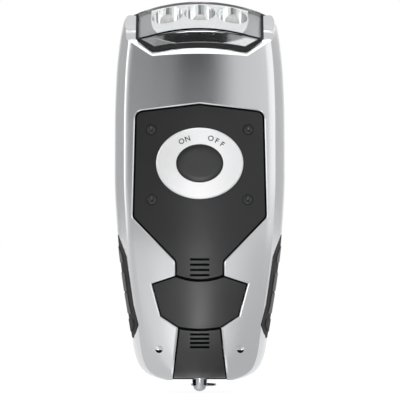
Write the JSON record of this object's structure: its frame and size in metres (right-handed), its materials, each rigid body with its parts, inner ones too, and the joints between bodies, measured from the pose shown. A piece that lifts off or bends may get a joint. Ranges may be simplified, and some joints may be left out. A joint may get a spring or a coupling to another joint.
{
  "type": "hand crank flashlight",
  "caption": "Pocket LED flashlight with a folding hand crank on its back, a step-up gear train and generator, a push button and a lanyard ring.",
  "frame": {"origin": "on the ground plane, under the middle of the torch standing light end up", "axes": "+Z from the tail to the light end, -Y out of the button side, +Y out of the crank side, +X to the right seen from the button side"},
  "size_m": [0.058, 0.043, 0.133],
  "materials": {
    "silver_paint": "satin metallic silver paint on moulded ABS",
    "charcoal_abs": "fine-textured moulded ABS",
    "black_abs": "satin moulded ABS",
    "button_ring": "fine-grained silver foil",
    "black_rubber": "matt moulded rubber",
    "clear_plastic": "clear polished polycarbonate",
    "chrome": "bright plated",
    "circuit_board": "green solder mask",
    "cell_wrap": "shrink film",
    "steel": "bright drawn",
    "brass": "turned",
    "nylon": "natural acetal",
    "magnet": "pressed ferrite",
    "copper": "enamelled winding wire"
  },
  "bodies": {
    "casing": {"front_casing": "silver_paint", "rear_casing": "charcoal_abs", "belly_shield": "charcoal_abs", "tail_strip": "charcoal_abs", "control_panel": "black_abs", "switch_body": "black_abs", "capacitor": "black_abs", "panel_pin_upper_left": "black_abs", "panel_pin_upper_right": "black_abs", "panel_pin_lower_left": "black_abs", "panel_pin_lower_right": "black_abs", "button_ring": "button_ring", "side_grip_left": "black_rubber", "side_grip_right": "black_rubber", "lens_gasket": "black_rubber", "lens": "clear_plastic", "led_left": "clear_plastic", "led_centre": "clear_plastic", "led_right": "clear_plastic", "reflector": "chrome", "lanyard_stud": "chrome", "circuit_board": "circuit_board", "led_board": "circuit_board", "battery_cell_left": "cell_wrap", "battery_cell_middle": "cell_wrap", "battery_cell_right": "cell_wrap", "gearbox_front_plate": "steel", "gearbox_rear_plate": "steel", "gear_one_axle": "steel", "gear_two_axle": "steel", "generator_can": "steel", "casing_screw_upper_left": "steel", "casing_screw_upper_right": "steel", "casing_screw_lower_left": "steel", "casing_screw_lower_right": "steel", "gearbox_pillar_upper_left": "brass", "gearbox_pillar_upper_right": "brass", "gearbox_pillar_lower_left": "brass", "gearbox_pillar_lower_right": "brass", "generator_coil": "copper"},
    "crank": {"crank_shaft": "steel", "drive_gear": "nylon", "crank_arm": "black_abs", "hub_screw": "steel", "knob_hinge_pin": "steel"},
    "gear_one": {"compound_gear_one": "nylon"},
    "gear_two": {"compound_gear_two": "nylon"},
    "rotor": {"rotor_pinion": "brass", "rotor_shaft": "steel", "rotor_magnet": "magnet"},
    "knob_carrier": {"knob_spindle": "steel"},
    "knob": {"crank_knob": "black_abs"},
    "button": {"power_button": "black_rubber", "switch_plunger": "nylon"},
    "ring": {"wire_ring": "chrome"}
  },
  "joints": [
    {"name": "crank_spin", "type": "hinge", "parent": "casing", "child": "crank", "pos_m": [0, 0.01726, 0.0491], "axis": [0, 1, 0], "continuous": true},
    {"name": "gear_one_spin", "type": "hinge", "parent": "casing", "child": "gear_one", "pos_m": [-0.01014, 0.00296, 0.03003], "axis": [0, 1, 0], "continuous": true},
    {"name": "gear_two_spin", "type": "hinge", "parent": "casing", "child": "gear_two", "pos_m": [-0.00326, -0.00004, 0.0202], "axis": [0, 1, 0], "continuous": true},
    {"name": "rotor_spin", "type": "hinge", "parent": "casing", "child": "rotor", "pos_m": [0.00856, -0.00204, 0.02228], "axis": [0, 1, 0], "continuous": true},
    {"name": "knob_fold", "type": "hinge", "parent": "crank", "child": "knob_carrier", "pos_m": [0, 0.01726, 0.1031], "axis": [1, 0, 0], "range_deg": [0, 90]},
    {"name": "knob_spin", "type": "hinge", "parent": "knob_carrier", "child": "knob", "pos_m": [0, 0.01726, 0.0861], "axis": [0, 0, 1], "continuous": true},
    {"name": "button_press", "type": "slide", "parent": "casing", "child": "button", "axis": [0, 1, 0], "range_m": [0, 0.0006], "stiffness_N_per_m": 1500},
    {"name": "ring_swing", "type": "hinge", "parent": "casing", "child": "ring", "pos_m": [0, -0.00204, 0.0022], "axis": [1, 0, 0], "range_deg": [-180, 0]}
  ],
  "couplings": [
    {"joint": "gear_one_spin", "follows": "crank_spin", "ratio": -3},
    {"joint": "gear_two_spin", "follows": "crank_spin", "ratio": 9},
    {"joint": "rotor_spin", "follows": "crank_spin", "ratio": -27}
  ]
}
